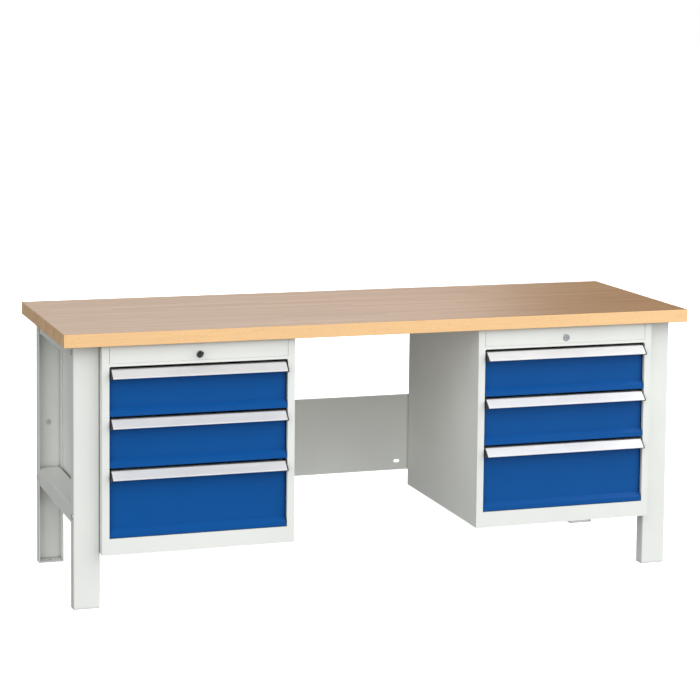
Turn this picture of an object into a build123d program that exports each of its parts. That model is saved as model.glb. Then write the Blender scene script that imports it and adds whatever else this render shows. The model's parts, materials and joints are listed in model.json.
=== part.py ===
from build123d import *
import math
import os

# Workbench with two three-drawer cabinets: beech worktop on four channel legs.
# Millimetres. X runs along the bench, the front faces -Y, Z is up from the floor.
# The origin is on the floor, below the middle of the worktop.

# Bench
WIDTH = 2000
DEPTH = 700
HEIGHT = 830
TOP_THICKNESS = 40
UNDER_TOP = HEIGHT - TOP_THICKNESS
FRONT = -DEPTH / 2
TOP_EDGE_RADIUS = 2

# Channel legs, stretchers and rear panel
LEG_WIDTH = 78
LEG_DEPTH = 40
LEG_SHEET = 3
LEG_OUTER = 962
LEG_BEND = 4
LEG_FRONT = FRONT + 55
LEG_REAR = 305
BEAM_HEIGHT = 50
STRETCHER_TOP = 301
PANEL_BOTTOM = 219
PANEL_HEIGHT = 255
PANEL_FLANGE = 12
SLOT_FROM_MIDDLE = 256
FOOT_PLATE = 4
ANCHOR_HOLE = 11

# Cabinets
CABINET_X = 590
CABINET_WIDTH = 588
CABINET_BOTTOM = 166
CABINET_FRONT = FRONT + 22
CABINET_REAR = LEG_REAR
SHEET = 1.5
STILE = 22
OPENING_WIDTH = CABINET_WIDTH - 2 * STILE
OPENING_TOP = 726.5
TOP_RAIL = 9
RETURN_DEPTH = 12
DRAWER_PITCHES = (148, 153.5, 208.5)
FOOT_GAP = 2
FLANGE = 20

# Drawers
GAP = 9.5
FRONT_WIDTH = 541
FACE_RECESS = 13
FRONT_DEPTH = 12
LIP_HEIGHT = 13.5
LIP_SLOPE = 12.5
HANDLE_WIDTH = 531
HANDLE_SHEET = 2
HANDLE_DROP = 24.5
CAP_WIDTH = 4
TRAY_WIDTH = 516
TRAY_REAR = 286
TRAY_LIFT = 14
TRAY_HEADROOM = 36
TRAY_SLOT_PITCH = 60

# Telescopic slides: fixed rail, middle carriage, rib on the tray
RAIL_LENGTH = 560
RAIL_FRONT = CABINET_FRONT + 27
SLIDE_HEIGHT = 30
RIB = 10
RUN_GAP = 0.6
SLIDE_SHEET = 2

# Central lock
LOCK_Z = 753
LOCK_BEZEL = 22
LOCK_BARREL = 18
PLUG = 12.4
ROD = 6
CRANK = 7
ARM_SHEET = 3
PIN = 5
PIN_GAP = 0.8
KEY_HEAD = (18, 20, 5)
KEY_TILT = 40
BAR_FRONT = 291
BAR_SHEET = 3

# Fasteners
BOLT = 8
BOLT_HEAD = 16
HEAD_HEIGHT = 2.5
NUT = 13
SCREW = 6
SCREW_HEAD = 12


def block(x, y, z):
    """A box between two X, two Y and two Z values."""
    size = Box(x[1] - x[0], y[1] - y[0], z[1] - z[0])
    return Pos((x[0] + x[1]) / 2, (y[0] + y[1]) / 2, (z[0] + z[1]) / 2) * size


def prism(points, axis, start, end):
    """A polygon in the other two axes, extruded along one axis from start to end."""
    at = "xyz".index(axis)
    corners = [(*pair[:at], start, *pair[at:]) for pair in points]
    way = [float(name == axis) for name in "xyz"]
    outline = Polyline(*corners, close=True)
    return extrude(make_face(outline), amount=end - start, dir=way)


def folded(points, thickness):
    """The outline of a sheet bent along the points, with its thickness on their left."""
    sides = []
    for a, b in zip(points, points[1:]):
        reach = thickness / math.dist(a, b)
        sides.append(((a[1] - b[1]) * reach, (b[0] - a[0]) * reach))
    inner = [(points[0][0] + sides[0][0], points[0][1] + sides[0][1])]
    for point, before, after in zip(points[1:-1], sides, sides[1:]):
        spread = 1 + (before[0] * after[0] + before[1] * after[1]) / thickness**2
        inner.append((point[0] + (before[0] + after[0]) / spread, point[1] + (before[1] + after[1]) / spread))
    inner.append((points[-1][0] + sides[-1][0], points[-1][1] + sides[-1][1]))
    return [*points, *reversed(inner)]


def laid(shape, point, axis, length):
    """A shape made along Z about its middle, laid along one axis with one end at the point."""
    turn = {"x": Rot(0, 90, 0), "y": Rot(-90, 0, 0), "z": Rot(0, 0, 0)}[axis]
    middle = list(point)
    middle["xyz".index(axis)] += length / 2
    return Pos(*middle) * turn * shape


def rod(point, axis, radius, length):
    """A cylinder that starts at the point and runs the given way along one axis."""
    return laid(Cylinder(radius, abs(length)), point, axis, length)


def hexagon(point, axis, across, length):
    """A hexagonal head or nut that starts at the point."""
    head = extrude(RegularPolygon(across / math.sqrt(3), 6), abs(length) / 2, both=True)
    return laid(head, point, axis, length)


def joined(pieces):
    """Separate solids kept side by side in one node."""
    return Compound(children=[solid for piece in pieces for solid in piece.solids()])


def mirrored(piece):
    return mirror(piece, about=Plane.YZ)


# Fasteners: each bolt is (point on the head's face, axis, way, clamped thickness)

def frame_bolts():
    """Every bolt of the steel frame: rear panel, stretchers, crossmembers and cabinets."""
    panel_z = (PANEL_BOTTOM + 28, PANEL_BOTTOM + PANEL_HEIGHT - 27)
    panel_x = LEG_OUTER - LEG_WIDTH / 2
    beam_z = (STRETCHER_TOP - BEAM_HEIGHT / 2, UNDER_TOP - BEAM_HEIGHT / 2)
    beam_y = (LEG_FRONT + LEG_DEPTH / 2, LEG_REAR - LEG_DEPTH / 2)
    cabinet_z = (CABINET_BOTTOM + 60, UNDER_TOP - 100)
    bolts = []
    for side in (-1, 1):
        for z in panel_z:
            bolts.append(((side * panel_x, LEG_REAR - LEG_SHEET, z), "y", 1, LEG_SHEET + SHEET))
        for y in beam_y:
            for z in beam_z:
                bolts.append(((side * LEG_OUTER, y, z), "x", -side, 2 * LEG_SHEET + RUN_GAP))
            for z in cabinet_z:
                inner = LEG_OUTER - LEG_WIDTH + LEG_SHEET
                bolts.append(((side * inner, y, z), "x", -side, LEG_SHEET + SHEET))
    return bolts


def bolt(point, axis, way, clamped):
    """A saucer-head bolt with its nut on the far side of the clamped sheets."""
    far = list(point)
    far["xyz".index(axis)] += way * clamped
    head = rod(point, axis, BOLT_HEAD / 2, -way * HEAD_HEIGHT)
    rims = head.edges().filter_by(GeomType.CIRCLE).sort_by(Axis.X if axis == "x" else Axis.Y)
    head = fillet(rims[0 if way > 0 else -1], 1.5)
    shank = rod(point, axis, BOLT / 2, way * (clamped + 8))
    nut = hexagon(far, axis, NUT, way * 6)
    return head + shank + nut


def bolt_holes(bolts):
    """Clearance holes for the shanks."""
    holes = []
    for point, axis, way, clamped in bolts:
        start = list(point)
        start["xyz".index(axis)] -= way
        holes.append(rod(start, axis, BOLT / 2 + 0.3, way * (clamped + 2)))
    return holes


def worktop_screws():
    """The points where a screw goes up into the worktop, on the underside of its steel flange."""
    beam_x = LEG_OUTER - LEG_WIDTH / 2
    cabinet_x = CABINET_WIDTH / 2 - SHEET - FLANGE / 2
    points = [(side * beam_x, y, UNDER_TOP - LEG_SHEET) for side in (-1, 1) for y in (-180, 0, 180)]
    for middle in (-CABINET_X, CABINET_X):
        for side in (-1, 1):
            for y in (-240, 220):
                points.append((middle + side * cabinet_x, y, UNDER_TOP - SHEET))
    return points


def screw(point):
    """A pan-head wood screw pointing up."""
    head = rod(point, "z", SCREW_HEAD / 2, -3)
    top = head.edges().group_by(Axis.Z)[0]
    return fillet(top, 1.5) + rod(point, "z", SCREW / 2 - 0.2, 25)


def screw_holes(radius):
    return [rod((x, y, z - 1), "z", radius, 30) for x, y, z in worktop_screws()]


# Steel frame

def worktop():
    """Beech multiplex slab with softened edges and blind screw holes below."""
    slab = block((-WIDTH / 2, WIDTH / 2), (FRONT, -FRONT), (UNDER_TOP, HEIGHT))
    slab = fillet(slab.edges(), TOP_EDGE_RADIUS)
    return slab - screw_holes(SCREW / 2)


def leg(side, front):
    """A bent channel with its web outwards, at the front or at the rear of the bench."""
    x = (LEG_OUTER - LEG_WIDTH, LEG_OUTER)
    if front:
        path = [(x[0], LEG_FRONT + LEG_DEPTH), (x[0], LEG_FRONT), (x[1], LEG_FRONT), (x[1], LEG_FRONT + LEG_DEPTH)]
    else:
        path = [(x[1], LEG_REAR - LEG_DEPTH), (x[1], LEG_REAR), (x[0], LEG_REAR), (x[0], LEG_REAR - LEG_DEPTH)]
    channel = prism(folded(path, LEG_SHEET), "z", 0, UNDER_TOP)
    rows = channel.edges().filter_by(Axis.Z).group_by(Axis.Y)
    channel = fillet(rows[0] if front else rows[-1], LEG_BEND)
    return channel if side > 0 else mirrored(channel)


def beam(side, top):
    """An inverted channel from the web of the front leg to the web of the rear leg."""
    x = (LEG_OUTER - LEG_WIDTH + LEG_SHEET + RUN_GAP, LEG_OUTER - LEG_SHEET - RUN_GAP)
    path = [(x[1], top - BEAM_HEIGHT), (x[1], top), (x[0], top), (x[0], top - BEAM_HEIGHT)]
    ends = (LEG_FRONT + LEG_SHEET + RUN_GAP, LEG_REAR - LEG_SHEET - RUN_GAP)
    channel = prism(folded(path, LEG_SHEET), "y", *ends)
    bends = channel.edges().filter_by(Axis.Y).group_by(Axis.Z)[-1]
    channel = fillet(bends, LEG_BEND)
    return channel if side > 0 else mirrored(channel)


def rear_panel():
    """A long sheet behind the rear legs, with stiffening folds and two slots near the knee space."""
    half = LEG_OUTER - 6
    y = LEG_REAR
    top = PANEL_BOTTOM + PANEL_HEIGHT
    path = [(y + PANEL_FLANGE, PANEL_BOTTOM), (y, PANEL_BOTTOM), (y, top), (y + PANEL_FLANGE, top)]
    sheet = prism(folded([*reversed(path)], SHEET), "x", -half, half)
    for x in (-SLOT_FROM_MIDDLE, SLOT_FROM_MIDDLE):
        slot = extrude(Plane.XZ * SlotOverall(20, 10), 20, both=True)
        sheet -= Pos(x, y, PANEL_BOTTOM + 30) * slot
    return sheet


def foot_plates():
    """One plate inside the bottom of each leg, with a hole for a floor anchor."""
    x = (LEG_OUTER - LEG_WIDTH + LEG_SHEET + RUN_GAP, LEG_OUTER - LEG_SHEET - RUN_GAP)
    plates = []
    for y in ((LEG_FRONT + LEG_SHEET + RUN_GAP, LEG_FRONT + LEG_DEPTH),
              (LEG_REAR - LEG_DEPTH, LEG_REAR - LEG_SHEET - RUN_GAP)):
        plate = block(x, y, (0, FOOT_PLATE))
        hole = rod((sum(x) / 2, sum(y) / 2, -1), "z", ANCHOR_HOLE / 2, FOOT_PLATE + 2)
        plates += [plate - hole, mirrored(plate - hole)]
    return joined(plates)


# Cabinet, built round its own middle and then moved to one side of the bench

def cabinet_shell():
    """Side walls and back in one bent sheet, with top flanges and two guides for the lock bar."""
    half = CABINET_WIDTH / 2
    start = CABINET_FRONT + SHEET
    path = [(half, start), (half, CABINET_REAR), (-half, CABINET_REAR), (-half, start)]
    shell = prism(folded(path, SHEET), "z", CABINET_BOTTOM, UNDER_TOP)
    bends = shell.edges().filter_by(Axis.Z).group_by(Axis.Y)[-1]
    shell = fillet(bends, 2)
    inner = half - SHEET
    flange_z = (UNDER_TOP - SHEET, UNDER_TOP)
    for x in ((-inner, -inner + FLANGE), (inner - FLANGE, inner)):
        shell += block(x, (start + RETURN_DEPTH + 2, CABINET_REAR - SHEET), flange_z)
    for z in (440, 640):
        guide = block((-16, 16), (BAR_FRONT - 3, CABINET_REAR - SHEET), (z, z + 20))
        shell += guide - block((-10.8, 10.8), (BAR_FRONT - 0.8, CABINET_REAR), (z, z + 20))
    return shell


def front_frame():
    """The stiles and rails round the drawers, with the edge of the opening turned inwards."""
    height = UNDER_TOP - CABINET_BOTTOM
    opening_height = sum(DRAWER_PITCHES) + FOOT_GAP
    face = Pos(0, CABINET_BOTTOM + height / 2) * Rectangle(CABINET_WIDTH, height)
    opening = Rectangle(OPENING_WIDTH, opening_height)
    opening = fillet(opening.vertices().group_by(Axis.Y)[-1], 5)
    opening = Pos(0, OPENING_TOP - opening_height / 2) * opening
    notch_height = UNDER_TOP - OPENING_TOP - TOP_RAIL
    notch = Pos(0, UNDER_TOP - notch_height / 2) * Rectangle(OPENING_WIDTH, notch_height)
    back = Plane.XZ.offset(-CABINET_FRONT - SHEET)
    plate = extrude(back * (face - opening - notch), SHEET)
    rim = extrude(back * (offset(opening, SHEET) - opening), -RETURN_DEPTH)
    return plate + rim


def lock_fascia():
    """The panel above the drawers, hooked between the stiles, with the hole for the lock."""
    z = (OPENING_TOP + TOP_RAIL + 0.5, UNDER_TOP - 0.5)
    y = (CABINET_FRONT, CABINET_FRONT + RETURN_DEPTH)
    path = [(y[1], z[0]), (y[0], z[0]), (y[0], z[1]), (y[1], z[1])]
    half = OPENING_WIDTH / 2 - 1
    panel = prism(folded([*reversed(path)], SHEET), "x", -half, half)
    return panel - rod((0, y[0] - 1, LOCK_Z), "y", LOCK_BARREL / 2 + 0.2, 5)


def cabinet_base():
    """The floor of the cabinet: a shallow pan inside the shell."""
    half = CABINET_WIDTH / 2 - SHEET - 0.2
    y = (CABINET_FRONT + SHEET + 0.2, CABINET_REAR - SHEET - 0.2)
    pan = block((-half, half), y, (CABINET_BOTTOM, CABINET_BOTTOM + FLANGE))
    inside = (y[0] + SHEET, y[1] - SHEET)
    return pan - block((SHEET - half, half - SHEET), inside, (CABINET_BOTTOM + SHEET, CABINET_BOTTOM + 2 * FLANGE))


def drawer_levels():
    """The bottom and the top of each drawer front, from the top drawer down."""
    levels = []
    top = OPENING_TOP
    for pitch in DRAWER_PITCHES:
        levels.append((top - pitch, top - GAP))
        top -= pitch
    return levels


def slide_z(bottom):
    return bottom + TRAY_LIFT + SLIDE_HEIGHT


def slide_section(reach, half_height, z):
    """A channel that is open towards the drawer, from its inner edge out to its web."""
    inner = TRAY_WIDTH / 2 + 2.5
    path = [(inner, z - half_height), (reach, z - half_height), (reach, z + half_height), (inner, z + half_height)]
    return folded(path, SLIDE_SHEET)


def cabinet_rails():
    """The six fixed rails, a pair for each drawer, against the side walls."""
    half_height = RIB + 2 * (RUN_GAP + SLIDE_SHEET)
    reach = CABINET_WIDTH / 2 - SHEET
    rails = []
    for bottom, top in drawer_levels():
        section = slide_section(reach, half_height, slide_z(bottom))
        rail = prism(section, "y", RAIL_FRONT, RAIL_FRONT + RAIL_LENGTH)
        rails += [rail, mirrored(rail)]
    return joined(rails)


def carriage(bottom):
    """The middle pair of slide members, which travel half as far as the drawer."""
    section = slide_section(TRAY_WIDTH / 2 + 13.3, RIB + RUN_GAP + SLIDE_SHEET, slide_z(bottom))
    member = prism(section, "y", RAIL_FRONT + 6, RAIL_FRONT + RAIL_LENGTH)
    return joined([member, mirrored(member)])


# Drawer

def drawer_front(bottom, top):
    """A steel pan: recessed face, sloping foot and a lip flush with the frame."""
    face = CABINET_FRONT + FACE_RECESS
    back = face + FRONT_DEPTH
    head = top - HANDLE_SHEET
    lip = bottom + LIP_HEIGHT
    foot = [(face, lip + LIP_SLOPE), (CABINET_FRONT, lip), (CABINET_FRONT, bottom), (back, bottom)]
    path = [(back, head), (face, head), *foot]
    half = FRONT_WIDTH / 2
    pan = prism(path, "x", -half, half)
    ends = pan.faces().sort_by(Axis.X)
    ends = ends[0].edges() + ends[-1].edges()
    pan = fillet(ends.filter_by(lambda edge: edge.center().Y < back - 1), 3)
    skin = folded(path, SHEET)
    cavity = skin[len(path):]
    cavity[0] = (back + 1, cavity[0][1])
    cavity[-1] = (back + 1, cavity[-1][1])
    return pan - prism(cavity, "x", SHEET - half, half - SHEET)


def handle_path(top):
    """The outer line of the handle strip, from its screw flange to its turned-in edge."""
    y = (CABINET_FRONT + 23, CABINET_FRONT + 2, FRONT, FRONT + 8)
    low = top - HANDLE_DROP
    return [(y[0], top), (y[1], top), (y[2], low + 3), (y[2], low), (y[3], low)]


def handle(top):
    """The slanting aluminium strip, with a fine groove along its upper edge."""
    half = HANDLE_WIDTH / 2
    strip = prism(folded(handle_path(top), HANDLE_SHEET), "x", -half, half)
    bends = strip.edges().filter_by(Axis.X).filter_by(lambda edge: edge.center().Y < CABINET_FRONT + 2.5)
    outer = [edge for edge in bends if on_outer_line(edge.center(), top)]
    strip = fillet(outer, 1.2)
    start, end = handle_path(top)[1:3]
    slope = math.degrees(math.atan2(end[1] - start[1], end[0] - start[0]))
    groove_y = start[0] + 0.25 * (end[0] - start[0])
    groove_z = start[1] + 0.25 * (end[1] - start[1])
    groove = Rot(slope, 0, 0) * Box(2 * half + 2, 1, 1)
    return strip - Pos(0, groove_y, groove_z) * groove


def on_outer_line(point, top):
    """Whether a bend of the handle lies on its outer side."""
    return any(math.dist((point.Y, point.Z), corner) < 0.1 for corner in handle_path(top)[1:4])


def handle_caps(top):
    """The plastic end plates, which close the handle down to the drawer's face."""
    face = CABINET_FRONT + FACE_RECESS
    flange, shoulder, nose, edge = handle_path(top)[:4]
    foot = edge[1] - 3
    outline = [flange, shoulder, nose, edge, (edge[0] + 4, foot), (face, foot), (face, top - HANDLE_SHEET),
               (flange[0], top - HANDLE_SHEET)]
    half = HANDLE_WIDTH / 2
    cap = prism(outline, "x", half, half + CAP_WIDTH)
    return joined([cap, mirrored(cap)])


def tray(bottom, top):
    """The drawer's box with slotted walls, and the ribs that run in the carriages."""
    half = TRAY_WIDTH / 2
    y = (CABINET_FRONT + FACE_RECESS + FRONT_DEPTH, TRAY_REAR)
    z = (bottom + TRAY_LIFT, top - TRAY_HEADROOM + GAP)
    box = block((-half, half), y, z)
    box -= block((SHEET - half, half - SHEET), (y[0] + SHEET, y[1] - SHEET), (z[0] + SHEET, z[1] + 1))
    rib_z = slide_z(bottom)
    for row in range(-4, 5):
        middle = row * TRAY_SLOT_PITCH
        box -= block((-half - 1, half + 1), (middle - 1.5, middle + 1.5), (rib_z + RIB + 8, z[1] - 10))
    for x in ((-half - RIB - 0.5, -half), (half, half + RIB + 0.5)):
        box += block(x, (y[0] + 1, TRAY_REAR - 30), (rib_z - RIB, rib_z + RIB))
    return box


# Central lock

def lock_body():
    """The round housing in the fascia."""
    bezel = rod((0, CABINET_FRONT, LOCK_Z), "y", LOCK_BEZEL / 2, -2)
    bezel = fillet(bezel.edges().group_by(Axis.Y)[0], 1)
    barrel = rod((0, CABINET_FRONT, LOCK_Z), "y", LOCK_BARREL / 2, 26)
    return bezel + barrel - rod((0, CABINET_FRONT - 3, LOCK_Z), "y", PLUG / 2 + 0.4, 40)


def at_key_angle(shape):
    """Turns a shape about the lock's axis, from upright to the angle of the keyway."""
    return Pos(0, 0, LOCK_Z) * Rot(0, KEY_TILT, 0) * Pos(0, 0, -LOCK_Z) * shape


def lock_plug():
    """The turning plug with its keyway, the rod to the back of the cabinet and its crank pin."""
    front = CABINET_FRONT - 1.5
    plug = rod((0, front, LOCK_Z), "y", PLUG / 2, 32)
    plug -= at_key_angle(block((-1, 1), (front - 1, front + 8), (LOCK_Z - 3.5, LOCK_Z + 3.5)))
    arm_y = BAR_FRONT - 7
    plug += rod((0, front + 31, LOCK_Z), "y", ROD / 2, arm_y - front - 31)
    arm = extrude(Pos(CRANK / 2, 0) * SlotCenterToCenter(CRANK, 8), ARM_SHEET / 2, both=True)
    arm = Pos(0, arm_y + ARM_SHEET / 2, LOCK_Z) * Rot(90, 0, 0) * Rot(0, 0, 45) * arm
    pin_at = CRANK * math.sqrt(0.5)
    return plug + arm + rod((pin_at, arm_y + 1, LOCK_Z + pin_at), "y", PIN / 2, 12)


def key():
    """A flat key in the plug, with a moulded head."""
    front = CABINET_FRONT - 1.5
    blade = block((-0.8, 0.8), (front - 4, front + 7), (LOCK_Z - 3.2, LOCK_Z + 3.2))
    length, height, thickness = KEY_HEAD
    outline = Plane.YZ * Pos(front - 2 - length / 2, LOCK_Z) * RectangleRounded(length, height, 7)
    head = extrude(outline, thickness / 2, both=True)
    rims = head.edges().filter_by(lambda edge: abs(edge.center().X) > thickness / 2 - 0.1)
    head = fillet(rims, 0.8)
    return at_key_angle(blade + head - rod((-thickness, front - length + 2, LOCK_Z), "x", 2.5, 2 * thickness))


def lock_bar():
    """The upright bar behind the trays: its hooks drop in front of their back walls."""
    y = (BAR_FRONT, BAR_FRONT + BAR_SHEET)
    low = drawer_levels()[-1][1] - TRAY_HEADROOM + GAP
    bar = block((-10, 10), y, (low, LOCK_Z - 12))
    bar += block((-14, 14), y, (LOCK_Z - 12, LOCK_Z + 22))
    middle = CRANK * (1 + math.sqrt(0.5)) / 2
    pin_z = LOCK_Z + CRANK * math.sqrt(0.5)
    reach = PIN / 2 + PIN_GAP
    slot = CRANK * (1 - math.sqrt(0.5)) / 2 + reach
    bar -= block((middle - slot, middle + slot), (y[0] - 1, y[1] + 1), (pin_z - reach, pin_z + reach))
    for bottom, top in drawer_levels():
        tray_top = top - TRAY_HEADROOM + GAP
        bar += block((-10, 10), (TRAY_REAR - 7, y[0] + 1), (tray_top + 12, tray_top + 15))
        bar += block((-10, 10), (TRAY_REAR - 7, TRAY_REAR - 4), (tray_top + 3, tray_top + 15))
    return bar


def frame_nodes():
    """The worktop and the steel frame."""
    bolts = frame_bolts()
    holes = bolt_holes(bolts)
    nodes = {"worktop": worktop()}
    for name, side in (("left", -1), ("right", 1)):
        nodes[f"leg_front_{name}"] = leg(side, True) - holes
        nodes[f"leg_rear_{name}"] = leg(side, False) - holes
        nodes[f"top_crossmember_{name}"] = beam(side, UNDER_TOP) - holes - screw_holes(SCREW / 2 + 0.3)
        nodes[f"stretcher_{name}"] = beam(side, STRETCHER_TOP) - holes
    nodes["rear_panel"] = rear_panel() - holes
    nodes["foot_plates"] = foot_plates()
    nodes["frame_bolts"] = joined([bolt(*each) for each in bolts])
    nodes["worktop_screws"] = joined([screw(point) for point in worktop_screws()])
    return nodes


def cabinet_nodes(name, side):
    """One cabinet with its lock and its three drawers, in place on one side of the bench."""
    place = Pos(side * CABINET_X, 0, 0)
    holes = bolt_holes(frame_bolts()) + screw_holes(SCREW / 2 + 0.3)
    nodes = {
        f"cabinet_shell_{name}": place * cabinet_shell() - holes,
        f"front_frame_{name}": place * front_frame(),
        f"lock_fascia_{name}": place * lock_fascia(),
        f"cabinet_base_{name}": place * cabinet_base(),
        f"cabinet_rails_{name}": place * cabinet_rails(),
        f"lock_body_{name}": place * lock_body(),
        f"lock_plug_{name}": place * lock_plug(),
        f"lock_bar_{name}": place * lock_bar(),
    }
    for number, (bottom, top) in enumerate(drawer_levels(), 1):
        drawer = f"drawer_{name}_{number}"
        nodes[f"{drawer}_front"] = place * drawer_front(bottom, top)
        nodes[f"{drawer}_tray"] = place * tray(bottom, top)
        nodes[f"{drawer}_handle"] = place * handle(top)
        nodes[f"{drawer}_caps"] = place * handle_caps(top)
        nodes[f"{drawer}_carriage"] = place * carriage(bottom)
    return nodes


os.makedirs("parts", exist_ok=True)
nodes = frame_nodes()
nodes.update(cabinet_nodes("left", -1))
nodes.update(cabinet_nodes("right", 1))
nodes["key"] = Pos(-CABINET_X, 0, 0) * key()
for name, shape in nodes.items():
    export_step(shape, f"parts/{name}.step")
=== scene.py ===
import json
import math

import bpy
from mathutils import Matrix, Vector


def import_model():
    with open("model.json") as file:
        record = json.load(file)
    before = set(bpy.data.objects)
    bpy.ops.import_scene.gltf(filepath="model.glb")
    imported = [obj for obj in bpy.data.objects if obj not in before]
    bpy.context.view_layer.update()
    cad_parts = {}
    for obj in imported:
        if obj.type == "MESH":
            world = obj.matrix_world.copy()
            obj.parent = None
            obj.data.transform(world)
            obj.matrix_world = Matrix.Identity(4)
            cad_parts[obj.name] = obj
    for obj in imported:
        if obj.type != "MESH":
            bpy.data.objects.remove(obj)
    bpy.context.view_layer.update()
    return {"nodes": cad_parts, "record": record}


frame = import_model()

STAVE_LENGTH = 0.58
STAVE_WIDTH = 0.043
FLOOR_REACH = 60.0
SENSOR_WIDTH = 36.0
SOCKETS = {"color": "Base Color", "roughness": "Roughness", "normal": "Normal", "metallic": "Metallic",
           "coat": "Coat Weight", "coat_roughness": "Coat Roughness", "anisotropic": "Anisotropic",
           "specular": "Specular IOR Level"}


# Node helpers: a recipe is a material's node tree and its Principled shader

class Recipe:
    """One procedural material, built node by node in object coordinates (metres)."""

    def __init__(self, name):
        self.material = bpy.data.materials.new(name)
        self.material.use_nodes = True
        self.tree = self.material.node_tree
        self.shader = self.tree.nodes["Principled BSDF"]
        self.coordinates = self.node("ShaderNodeTexCoord").outputs["Object"]

    def node(self, kind, **settings):
        made = self.tree.nodes.new(kind)
        for key, value in settings.items():
            setattr(made, key, value)
        return made

    def link(self, source, target):
        self.tree.links.new(source, target)

    def fill(self, socket, value):
        """A socket takes either another node's output or a plain value."""
        if isinstance(value, bpy.types.NodeSocket):
            self.link(value, socket)
        else:
            socket.default_value = value

    def stretched(self, scale, source=None):
        """Coordinates scaled along each axis, for grain and scratches that run one way."""
        mapping = self.node("ShaderNodeMapping")
        self.fill(mapping.inputs["Vector"], source or self.coordinates)
        mapping.inputs["Scale"].default_value = scale
        return mapping.outputs["Vector"]

    def noise(self, vector, scale=1.0, detail=3.0, roughness=0.5, distortion=0.0):
        made = self.node("ShaderNodeTexNoise")
        self.link(vector, made.inputs["Vector"])
        made.inputs["Scale"].default_value = scale
        made.inputs["Detail"].default_value = detail
        made.inputs["Roughness"].default_value = roughness
        made.inputs["Distortion"].default_value = distortion
        return made.outputs["Fac"]

    def math(self, operation, a, b=0.0):
        made = self.node("ShaderNodeMath", operation=operation)
        self.fill(made.inputs[0], a)
        self.fill(made.inputs[1], b)
        return made.outputs[0]

    def remap(self, value, low, high, to_low=0.0, to_high=1.0):
        """Moves the range low to high onto another range, clamped at both ends."""
        made = self.node("ShaderNodeMapRange", clamp=True)
        self.fill(made.inputs["Value"], value)
        self.fill(made.inputs["From Min"], low)
        self.fill(made.inputs["From Max"], high)
        self.fill(made.inputs["To Min"], to_low)
        self.fill(made.inputs["To Max"], to_high)
        return made.outputs["Result"]

    def mix(self, factor, a, b, blend="MIX"):
        made = self.node("ShaderNodeMix", data_type="RGBA", blend_type=blend)
        self.fill(made.inputs["Factor"], factor)
        self.fill(made.inputs["A"], a if isinstance(a, bpy.types.NodeSocket) else (*a, 1))
        self.fill(made.inputs["B"], b if isinstance(b, bpy.types.NodeSocket) else (*b, 1))
        return made.outputs["Result"]

    def bump(self, height, distance, strength=1.0, under=None):
        made = self.node("ShaderNodeBump")
        made.inputs["Distance"].default_value = distance
        made.inputs["Strength"].default_value = strength
        self.link(height, made.inputs["Height"])
        if under is not None:
            self.link(under, made.inputs["Normal"])
        return made.outputs["Normal"]

    def edge(self, radius, low, high):
        """1 along sharp outer edges and 0 on flat faces, from the rounded normal."""
        rounded = self.node("ShaderNodeBevel", samples=4)
        rounded.inputs["Radius"].default_value = radius
        flat = self.node("ShaderNodeNewGeometry").outputs["Normal"]
        dot = self.node("ShaderNodeVectorMath", operation="DOT_PRODUCT")
        self.link(rounded.outputs["Normal"], dot.inputs[0])
        self.link(flat, dot.inputs[1])
        return self.remap(dot.outputs["Value"], high, low)

    def painted_crevice_shade(self, reach, darkest):
        """Painted shade from ambient occlusion: a factor that falls to `darkest` in gaps, folds and corners
        narrower than `reach`.
        """
        around = self.node("ShaderNodeAmbientOcclusion", samples=6)
        around.inputs["Distance"].default_value = reach
        return self.remap(around.outputs["AO"], 0.25, 0.85, darkest, 1.0)

    def shaded(self, color, reach, darkest):
        """A colour with painted shade, darkened where the ambient-occlusion factor falls."""
        made = self.node("ShaderNodeVectorMath", operation="SCALE")
        self.link(color, made.inputs[0])
        self.link(self.painted_crevice_shade(reach, darkest), made.inputs["Scale"])
        return made.outputs["Vector"]

    def facing(self, axis):
        """1 on faces square to the axis, 0 on the others."""
        parts = self.node("ShaderNodeSeparateXYZ")
        self.link(self.node("ShaderNodeNewGeometry").outputs["Normal"], parts.inputs[0])
        return self.remap(self.math("ABSOLUTE", parts.outputs[axis]), 0.6, 0.85)

    def finish(self, **sockets):
        """Sets the shader's sockets, with a constant on the socket itself, and gives the material."""
        for key, value in sockets.items():
            self.fill(self.shader.inputs[SOCKETS[key]], value)
        return self.material


# Materials

def powder_coat(name, color, worn_and_lit_color, gloss=0.36, specular=0.3, reach=0.011, darkest=0.5):
    """Baked powder coat: fine orange peel, cloudy gloss, edges lighter from a thinner film and a painted
    edge highlight, and painted shade in gaps and recesses.
    """
    m = Recipe(name)
    cloud = m.noise(m.coordinates, 5.0, 4.0)
    peel = m.noise(m.coordinates, 620.0, 2.0)
    grit = m.noise(m.coordinates, 2600.0, 1.0)
    tint = m.mix(m.remap(cloud, 0.35, 0.7), color, tuple(c * 0.955 for c in color))
    tint = m.mix(m.remap(grit, 0.62, 0.72, 0.0, 0.25), tint, tuple(c * 0.85 for c in color))
    # Edge lightening: partly a thinner worn film, partly a painted edge highlight.
    edge_breakup = m.remap(m.noise(m.coordinates, 90.0, 5.0), 0.35, 0.65)
    wear_and_highlight = m.math("MULTIPLY", m.edge(0.0012, 0.8, 0.97), edge_breakup)
    tint = m.mix(m.math("MULTIPLY", wear_and_highlight, 0.5), tint, worn_and_lit_color)
    smear = m.noise(m.stretched((9, 9, 2.5)), 1.0, 5.0, 0.6)
    rough = m.remap(smear, 0.3, 0.7, gloss - 0.05, gloss + 0.08)
    normal = m.bump(peel, 0.00012, 0.5)
    normal = m.bump(grit, 0.00003, 0.4, normal)
    # Painted shade: the colour is darkened by ambient occlusion in gaps and recesses.
    return m.finish(color=m.shaded(tint, reach, darkest), roughness=rough, normal=normal, specular=specular)


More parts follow.
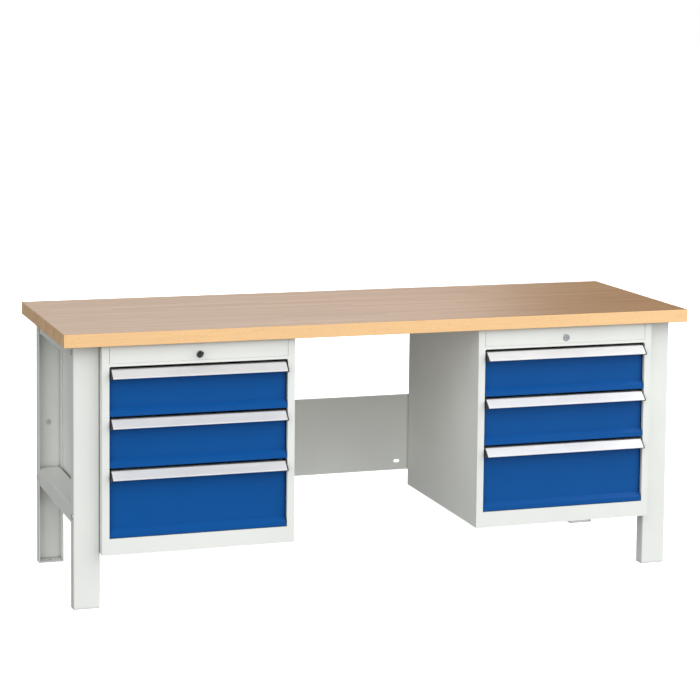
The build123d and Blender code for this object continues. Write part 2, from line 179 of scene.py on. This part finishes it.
def stave_rows(m):
    """Object coordinates with each row of staves slid and stretched along X by its own amount."""
    parts = m.node("ShaderNodeSeparateXYZ")
    m.link(m.coordinates, parts.inputs[0])
    row = m.math("FLOOR", m.math("DIVIDE", parts.outputs["Y"], STAVE_WIDTH))
    slide = m.node("ShaderNodeTexWhiteNoise", noise_dimensions="1D")
    m.link(row, slide.inputs["W"])
    stretch = m.node("ShaderNodeTexWhiteNoise", noise_dimensions="1D")
    m.link(m.math("ADD", row, 0.5), stretch.inputs["W"])
    factor = m.remap(stretch.outputs["Value"], 0.0, 1.0, 0.8, 1.25)
    stretched = m.math("MULTIPLY", parts.outputs["X"], factor)
    joined = m.node("ShaderNodeCombineXYZ")
    m.link(m.math("ADD", stretched, slide.outputs["Value"]), joined.inputs["X"])
    m.link(parts.outputs["Y"], joined.inputs["Y"])
    m.link(parts.outputs["Z"], joined.inputs["Z"])
    return joined.outputs["Vector"]


def beech():
    """Glued beech staves along X: tone by stave, cathedral grain, pores, flecks, a satin oil and painted
    shade that darkens the top face.
    """
    m = Recipe("beech")
    staves = m.node("ShaderNodeTexBrick", offset=0.0, squash=1.0)
    m.link(stave_rows(m), staves.inputs["Vector"])
    settings = {"Color1": (0, 0, 0, 1), "Color2": (1, 1, 1, 1), "Mortar": (0.5, 0.5, 0.5, 1),
                "Scale": 1.0, "Mortar Size": 0.00022, "Mortar Smooth": 0.3, "Bias": 0.0,
                "Brick Width": STAVE_LENGTH, "Row Height": STAVE_WIDTH}
    for key, value in settings.items():
        staves.inputs[key].default_value = value
    calm = m.math("SUBTRACT", 1.0, m.math("MULTIPLY", m.facing("Y"), 0.85))
    tone = staves.outputs["Color"]
    glue = m.math("MULTIPLY", staves.outputs["Fac"], calm)
    shift = m.node("ShaderNodeVectorMath", operation="MULTIPLY_ADD")
    m.link(tone, shift.inputs[0])
    shift.inputs[1].default_value = (3.1, 7.7, 5.3)
    m.link(m.coordinates, shift.inputs[2])
    wood = shift.outputs["Vector"]
    bands = m.noise(m.stretched((1.1, 34, 34), source=wood), 1.0, 4.0, 0.55, 0.6)
    fine = m.noise(m.stretched((9, 520, 520), source=wood), 1.0, 3.0, 0.6)
    pores = m.noise(m.stretched((70, 1500, 1500), source=wood), 1.0, 2.0)
    flecks = m.noise(m.stretched((150, 900, 240), source=wood), 1.0, 1.0)
    light, dark, ruddy = (0.900, 0.570, 0.270), (0.700, 0.410, 0.180), (0.830, 0.480, 0.215)
    color = m.mix(m.math("MULTIPLY", m.remap(tone, 0.1, 0.9), calm), light, ruddy)
    color = m.mix(m.math("MULTIPLY", m.remap(bands, 0.42, 0.66, 0.0, 0.75), calm), color, dark)
    color = m.mix(m.remap(fine, 0.5, 0.75, 0.0, 0.45), color, dark)
    color = m.mix(m.remap(pores, 0.62, 0.72, 0.0, 0.4), color, (0.46, 0.24, 0.11))
    color = m.mix(m.remap(flecks, 0.66, 0.72, 0.0, 0.3), color, (0.50, 0.27, 0.13))
    color = m.mix(m.math("MULTIPLY", glue, 0.45), color, (0.30, 0.16, 0.08))
    # Painted shade: the top face is multiplied darker than the edges, for the weaker light falling on it.
    color = m.mix(m.facing("Z"), color, (0.58, 0.505, 0.42), "MULTIPLY")
    rough = m.remap(bands, 0.3, 0.7, 0.30, 0.40)
    normal = m.bump(fine, 0.00012, 0.35)
    normal = m.bump(pores, 0.00008, 0.35, normal)
    return m.finish(color=color, roughness=rough, normal=normal, coat=0.15, coat_roughness=0.22)


def aluminium():
    """Matt anodised extrusion: drawn lines along X and a faint cloudy oxide."""
    m = Recipe("aluminium")
    lines = m.noise(m.stretched((6, 2600, 2600)), 1.0, 3.0, 0.6)
    cloud = m.noise(m.coordinates, 14.0, 3.0)
    color = m.mix(m.remap(cloud, 0.35, 0.7), (0.83, 0.83, 0.84), (0.79, 0.79, 0.80))
    rough = m.remap(lines, 0.3, 0.7, 0.40, 0.50)
    normal = m.bump(lines, 0.00004, 0.5)
    return m.finish(color=color, roughness=rough, normal=normal, metallic=0.55, anisotropic=0.35)


def black_plastic():
    """Injection-moulded caps with a fine spark-eroded texture."""
    m = Recipe("black_plastic")
    grain = m.noise(m.coordinates, 1900.0, 3.0)
    # Edge lightening: partly scuffed wear, partly a painted edge highlight.
    wear_and_highlight = m.edge(0.0006, 0.8, 0.97)
    color = m.mix(m.math("MULTIPLY", wear_and_highlight, 0.5), (0.016, 0.016, 0.018), (0.07, 0.07, 0.075))
    rough = m.remap(grain, 0.3, 0.7, 0.42, 0.58)
    return m.finish(color=color, roughness=rough, normal=m.bump(grain, 0.00006, 0.6))


def zinc_steel():
    """Bright zinc: mottled spangle, a faint yellow and blue passivation, fine scratches."""
    m = Recipe("zinc_steel")
    spangle = m.node("ShaderNodeTexVoronoi", feature="F1")
    m.link(m.coordinates, spangle.inputs["Vector"])
    spangle.inputs["Scale"].default_value = 260.0
    cloud = m.noise(m.coordinates, 40.0, 4.0)
    scratch = m.noise(m.stretched((1400, 60, 1400)), 1.0, 2.0)
    color = m.mix(m.remap(cloud, 0.35, 0.65), (0.66, 0.67, 0.70), (0.70, 0.68, 0.60))
    rough = m.remap(spangle.outputs["Distance"], 0.1, 0.8, 0.26, 0.42)
    return m.finish(color=color, roughness=rough, normal=m.bump(scratch, 0.00003, 0.5), metallic=1.0)


def chrome():
    """Polished nickel-chrome with hairline scratches."""
    m = Recipe("lock_chrome")
    haze = m.noise(m.coordinates, 120.0, 4.0)
    scratch = m.noise(m.stretched((2400, 2400, 180)), 1.0, 2.0)
    color = m.mix(m.remap(haze, 0.35, 0.65), (0.44, 0.44, 0.46), (0.36, 0.36, 0.38))
    rough = m.remap(haze, 0.3, 0.7, 0.14, 0.24)
    normal = m.bump(scratch, 0.00002, 0.5)
    # Painted shade: the chrome is darkened almost to black in the lock's gaps and rings.
    return m.finish(color=m.shaded(color, 0.008, 0.05), roughness=rough, normal=normal, metallic=1.0)


finishes = {
    "beech": beech(),
    "grey_paint": powder_coat("grey_paint", (0.790, 0.805, 0.765), (0.86, 0.87, 0.84)),
    # Blue: a long reach paints shade under the handles and along the edges of the recessed fronts.
    "blue_paint": powder_coat("blue_paint", (0.003, 0.080, 0.300), (0.015, 0.11, 0.36),
                              gloss=0.34, specular=0.11, reach=0.026, darkest=0.25),
    "aluminium": aluminium(),
    "black_plastic": black_plastic(),
    "zinc_steel": zinc_steel(),
    "lock_chrome": chrome(),
}
slots = {part["node"]: part["material_slot"] for part in frame["record"]["subparts"]}
for name, node in frame["nodes"].items():
    for index in range(len(node.data.materials)):
        node.data.materials[index] = finishes[slots[name]]


# Floor, lights, world and camera

def floor():
    """A pale sweep that shows soft shadows. It is lifted to white without lighting the bench."""
    m = Recipe("floor")
    grain = m.noise(m.coordinates, 40.0, 3.0)
    color = m.mix(m.remap(grain, 0.3, 0.7), (0.80, 0.80, 0.80), (0.79, 0.79, 0.79))
    m.finish(color=color, roughness=0.9, specular=0.0)
    m.shader.inputs["Emission Color"].default_value = (1, 1, 1, 1)
    m.shader.inputs["Emission Strength"].default_value = 0.72
    mesh = bpy.data.meshes.new("floor")
    signs = ((-1, -1), (1, -1), (1, 1), (-1, 1))
    mesh.from_pydata([(x * FLOOR_REACH, y * FLOOR_REACH, 0) for x, y in signs], [], [(0, 1, 2, 3)])
    mesh.materials.append(m.material)
    made = bpy.data.objects.new("floor", mesh)
    bpy.context.scene.collection.objects.link(made)
    made.visible_diffuse = False
    made.visible_glossy = False


def softbox(name, place, target, size, power, reflected=True):
    """A rectangular lamp that faces the target. One that isn't reflected leaves no highlight."""
    lamp = bpy.data.lights.new(name, "AREA")
    lamp.shape = "RECTANGLE"
    lamp.size, lamp.size_y = size
    lamp.energy = power
    made = bpy.data.objects.new(name, lamp)
    bpy.context.scene.collection.objects.link(made)
    made.location = place
    made.rotation_euler = (Vector(target) - Vector(place)).to_track_quat("-Z", "Y").to_euler()
    made.visible_glossy = reflected


def world():
    """A soft studio: bright at both sides and high up in front, dim behind and below."""
    made = bpy.data.worlds.new("studio")
    made.use_nodes = True
    tree = made.node_tree

    def lobe(way, start, end, low, high):
        """Brightness that grows from low to high as a direction's cosine with `way` goes start to end."""
        dot = tree.nodes.new("ShaderNodeVectorMath")
        dot.operation = "DOT_PRODUCT"
        tree.links.new(place.outputs["Generated"], dot.inputs[0])
        dot.inputs[1].default_value = Vector(way).normalized()
        ramp = tree.nodes.new("ShaderNodeMapRange")
        ramp.interpolation_type = "SMOOTHSTEP"
        tree.links.new(dot.outputs["Value"], ramp.inputs["Value"])
        for key, value in (("From Min", start), ("From Max", end), ("To Min", low), ("To Max", high)):
            ramp.inputs[key].default_value = value
        return ramp.outputs["Result"]

    def add(a, b):
        total = tree.nodes.new("ShaderNodeMath")
        tree.links.new(a, total.inputs[0])
        tree.links.new(b, total.inputs[1])
        return total.outputs[0]

    place = tree.nodes.new("ShaderNodeTexCoord")
    left = lobe((-0.75, -0.65, 0.25), 0.55, 1.0, 0.0, 1.42)
    right = lobe((0.8, -0.6, 0.25), 0.55, 1.0, 0.0, 1.78)
    high = lobe((0.0, -0.65, 0.75), 0.6, 1.0, 0.0, 0.85)
    behind = lobe((0.0, 1.0, 0.2), 0.35, 1.0, 0.0, 0.15)
    below = lobe((0.0, 0.0, -1.0), -0.1, 0.3, 0.07, 0.14)
    seen = tree.nodes["Background"]
    seen.inputs["Color"].default_value = (1, 1, 1, 1)
    seen.inputs["Strength"].default_value = 1.0
    cast = tree.nodes.new("ShaderNodeBackground")
    cast.inputs["Color"].default_value = (0.98, 0.99, 1, 1)
    tree.links.new(add(add(left, right), add(high, add(behind, below))), cast.inputs["Strength"])
    path = tree.nodes.new("ShaderNodeLightPath")
    blend = tree.nodes.new("ShaderNodeMixShader")
    tree.links.new(path.outputs["Is Camera Ray"], blend.inputs["Fac"])
    tree.links.new(cast.outputs[0], blend.inputs[1])
    tree.links.new(seen.outputs[0], blend.inputs[2])
    tree.links.new(blend.outputs[0], tree.nodes["World Output"].inputs["Surface"])
    bpy.context.scene.world = made


def camera():
    """Stands in front and to the left, with a level turn, a small tilt down and a slight roll."""
    yaw, pitch, roll = 0.3364, 0.0987, -0.0117
    forward = Vector((math.sin(yaw) * math.cos(pitch), math.cos(yaw) * math.cos(pitch), -math.sin(pitch)))
    level = Vector((math.cos(yaw), -math.sin(yaw), 0))
    down = forward.cross(level)
    right = level * math.cos(roll) + down * math.sin(roll)
    up = level * math.sin(roll) - down * math.cos(roll)
    lens = bpy.data.cameras.new("camera")
    lens.sensor_width = SENSOR_WIDTH
    lens.lens = 113.72
    lens.shift_x, lens.shift_y = -0.0507, -0.2076
    lens.clip_end = 300.0
    made = bpy.data.objects.new("camera", lens)
    bpy.context.scene.collection.objects.link(made)
    turn = Matrix((right, up, -forward)).transposed().to_4x4()
    made.matrix_world = Matrix.Translation((-2.2095, -6.6034, 1.8424)) @ turn
    bpy.context.scene.camera = made


floor()
world()
softbox("key", (-0.4, -5.0, 2.7), (0, 0, 0.45), (4.5, 2.5), 20)
softbox("strip", (2.4, -1.0, 2.6), (0.7, -0.1, 0.7), (1.6, 1.2), 16)
softbox("rim", (1.0, 6.0, 3.5), (0, 0, 0.6), (4.0, 2.0), 70)
softbox("fill", (0.5, 6.0, 1.4), (0, 0, 0.5), (5.0, 2.4), 130, reflected=False)
camera()
bpy.context.scene.view_settings.view_transform = "Standard"
